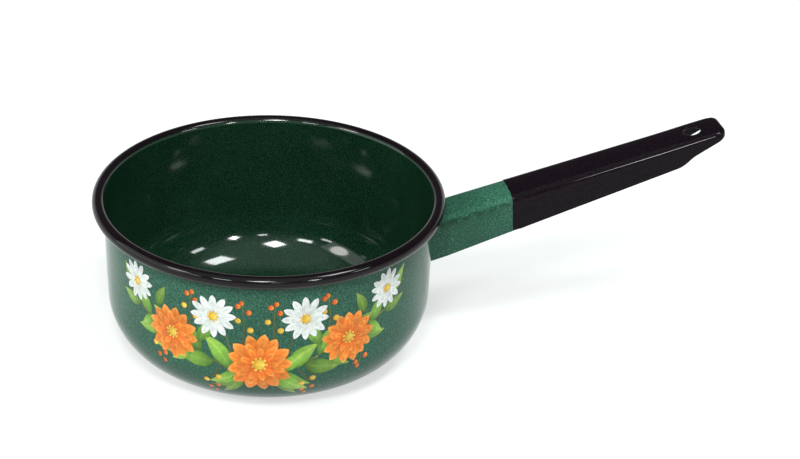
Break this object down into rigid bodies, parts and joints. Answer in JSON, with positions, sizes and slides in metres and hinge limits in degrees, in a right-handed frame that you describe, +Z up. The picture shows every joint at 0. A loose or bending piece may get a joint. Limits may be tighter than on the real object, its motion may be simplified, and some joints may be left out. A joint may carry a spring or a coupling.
{
  "type": "milk pan",
  "caption": "Enamelled steel milk pan with a deep round-bottomed bowl, a black curled rim and one long pressed channel handle with a hanging hole.",
  "frame": {"origin": "centre of the underside of the flat base", "axes": "+Z up along the bowl's axis, +X along the handle, away from the bowl"},
  "size_m": [0.3199, 0.1718, 0.0957],
  "materials": {
    "green_enamel": "glossy speckled sage green vitreous enamel on steel",
    "inside_enamel": "glossy finely speckled dark green vitreous enamel on steel",
    "black_enamel": "glossy black vitreous enamel",
    "floral_print": "glossy fired floral transfer in orange, white, yellow and leaf green"
  },
  "bodies": {
    "root": {"bowl_pressing": "green_enamel", "handle_channel": "green_enamel", "handle_weld": "green_enamel", "rim_enamel": "black_enamel", "grip_enamel": "black_enamel"}
  },
  "joints": []
}
